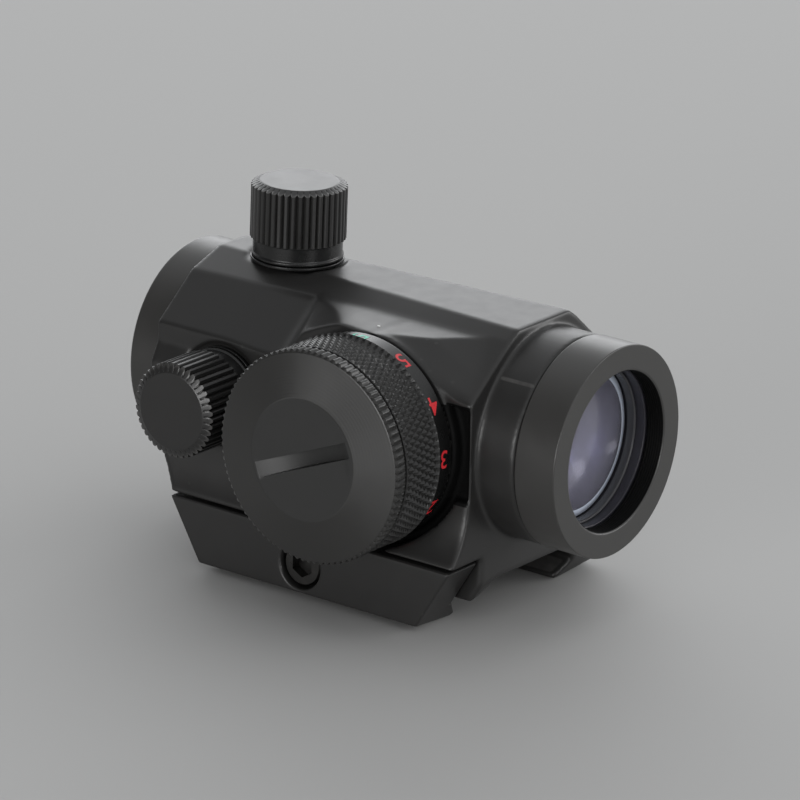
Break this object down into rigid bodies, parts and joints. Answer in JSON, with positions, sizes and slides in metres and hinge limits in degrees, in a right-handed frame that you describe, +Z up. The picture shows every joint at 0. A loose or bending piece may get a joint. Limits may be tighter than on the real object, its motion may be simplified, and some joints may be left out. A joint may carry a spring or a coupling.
{
  "type": "red dot finder",
  "caption": "Compact tube red dot sight with capped elevation and windage adjusters, a side brightness dial over a coin cell, and an integral rail clamp.",
  "frame": {"origin": "on the flat rail seat, on the centre line, straight below the brightness dial's axis", "axes": "+Z up from the rail, +Y out of the objective, +X out of the brightness dial"},
  "size_m": [0.0435, 0.062, 0.0447],
  "materials": {
    "anodised_shell": "bead blasted, matt black anodised",
    "anodised_ring": "fine turned, black anodised",
    "anodised_inner": "threaded and blackened against glare",
    "anodised_dial": "diamond knurled, black anodised, with painted figures",
    "anodised_cap": "knurled, satin black anodised",
    "clear_glass": "polished, uncoated",
    "coated_glass": "polished, with a faint blue coating",
    "seal_rubber": "moulded nitrile",
    "nylon": "machined nylon",
    "black_plastic": "moulded, matt",
    "red_lens": "clear red epoxy",
    "spring_steel": "drawn spring wire",
    "bright_steel": "ground, uncoated",
    "black_steel": "black oxide",
    "cell_steel": "nickel plated can",
    "circuit_board": "green solder mask with bare tracks",
    "brass": "turned",
    "white_paint": "filled paint dot",
    "red_paint": "filled red figures on the dial",
    "green_paint": "filled green figures on the dial"
  },
  "bodies": {
    "housing": {"housing": "anodised_shell", "front_ring": "anodised_ring", "rear_ring": "anodised_ring", "rear_window": "clear_glass", "window_seal": "seal_rubber", "window_retainer": "anodised_inner", "tube_seal": "seal_rubber", "return_spring": "spring_steel", "switch_board": "circuit_board", "dial_spindle": "bright_steel", "detent_ball": "bright_steel", "detent_spring": "spring_steel", "index_mark": "white_paint", "elevation_seat": "anodised_inner", "windage_seat": "anodised_inner", "clamp_nut": "black_steel"},
    "pivot_ring": {"pivot_ring": "nylon"},
    "tube": {"optical_tube": "anodised_inner", "objective_crown": "coated_glass", "objective_flint": "coated_glass", "objective_retainer": "anodised_inner", "led_holder": "black_plastic", "led_emitter": "red_lens"},
    "dial": {"dial": "anodised_dial", "switch_wiper": "brass", "contact_insulator": "black_plastic", "battery_contact": "brass", "battery": "cell_steel"},
    "battery_seal": {"battery_seal": "seal_rubber"},
    "battery_cap": {"battery_cap": "anodised_cap"},
    "elevation_seal": {"elevation_seal": "seal_rubber"},
    "elevation_cap": {"elevation_cap": "anodised_cap"},
    "elevation_screw": {"elevation_screw": "brass"},
    "elevation_plunger": {"elevation_plunger": "bright_steel"},
    "windage_seal": {"windage_seal": "seal_rubber"},
    "windage_cap": {"windage_cap": "anodised_cap"},
    "windage_screw": {"windage_screw": "brass"},
    "windage_plunger": {"windage_plunger": "bright_steel"},
    "clamp_plate": {"clamp_plate": "anodised_shell", "clamp_washer": "bright_steel"},
    "clamp_screw": {"clamp_screw": "black_steel"}
  },
  "joints": [
    {"name": "dial_turn", "type": "hinge", "parent": "housing", "child": "dial", "pos_m": [0, 0, 0.0163], "axis": [1, 0, 0], "continuous": true},
    {"name": "battery_cap_lift", "type": "slide", "parent": "dial", "child": "battery_seal", "axis": [1, 0, 0], "range_m": [0, 0.00225]},
    {"name": "battery_cap_turn", "type": "hinge", "parent": "battery_seal", "child": "battery_cap", "pos_m": [0, 0, 0.0163], "axis": [1, 0, 0], "range_deg": [0, 1082]},
    {"name": "elevation_cap_lift", "type": "slide", "parent": "housing", "child": "elevation_seal", "axis": [0, 0, 1], "range_m": [0, 0.004]},
    {"name": "elevation_cap_turn", "type": "hinge", "parent": "elevation_seal", "child": "elevation_cap", "pos_m": [0, -0.0217, 0.0163], "axis": [0, 0, 1], "range_deg": [0, 1803]},
    {"name": "windage_cap_lift", "type": "slide", "parent": "housing", "child": "windage_seal", "axis": [1, 0, 0], "range_m": [0, 0.004]},
    {"name": "windage_cap_turn", "type": "hinge", "parent": "windage_seal", "child": "windage_cap", "pos_m": [0, -0.0217, 0.0163], "axis": [1, 0, 0], "range_deg": [0, 1803]},
    {"name": "elevation_plunger_slide", "type": "slide", "parent": "housing", "child": "elevation_plunger", "axis": [0, 0, 1], "range_m": [-0.0006, 0.0006]},
    {"name": "elevation_screw_turn", "type": "hinge", "parent": "housing", "child": "elevation_screw", "pos_m": [0, -0.0217, 0.0163], "axis": [0, 0, 1], "range_deg": [-619, 619]},
    {"name": "windage_plunger_slide", "type": "slide", "parent": "housing", "child": "windage_plunger", "axis": [1, 0, 0], "range_m": [-0.0006, 0.0006]},
    {"name": "windage_screw_turn", "type": "hinge", "parent": "housing", "child": "windage_screw", "pos_m": [0, -0.0217, 0.0163], "axis": [1, 0, 0], "range_deg": [-619, 619]},
    {"name": "tube_yaw", "type": "hinge", "parent": "housing", "child": "pivot_ring", "pos_m": [0, 0.0133, 0.0163], "axis": [0, 0, 1], "range_deg": [-1, 1]},
    {"name": "tube_pitch", "type": "hinge", "parent": "pivot_ring", "child": "tube", "pos_m": [0, 0.0133, 0.0163], "axis": [1, 0, 0], "range_deg": [-1, 1]},
    {"name": "clamp_slide", "type": "slide", "parent": "housing", "child": "clamp_plate", "axis": [1, 0, 0], "range_m": [0, 0.002]},
    {"name": "clamp_screw_turn", "type": "hinge", "parent": "clamp_plate", "child": "clamp_screw", "pos_m": [0, -0.0074, -0.0012], "axis": [1, 0, 0], "range_deg": [0, 1031]}
  ],
  "couplings": [
    {"joint": "battery_cap_turn", "follows": "battery_cap_lift", "rad_per_m": 8377.6},
    {"joint": "elevation_cap_turn", "follows": "elevation_cap_lift", "rad_per_m": 7854},
    {"joint": "windage_cap_turn", "follows": "windage_cap_lift", "rad_per_m": 7854},
    {"joint": "elevation_screw_turn", "follows": "elevation_plunger_slide", "rad_per_m": 17952},
    {"joint": "tube_pitch", "follows": "elevation_plunger_slide", "rad_per_m": -28.571},
    {"joint": "windage_screw_turn", "follows": "windage_plunger_slide", "rad_per_m": 17952},
    {"joint": "tube_yaw", "follows": "windage_plunger_slide", "rad_per_m": 28.571},
    {"joint": "clamp_screw_turn", "follows": "clamp_slide", "rad_per_m": 8976}
  ]
}
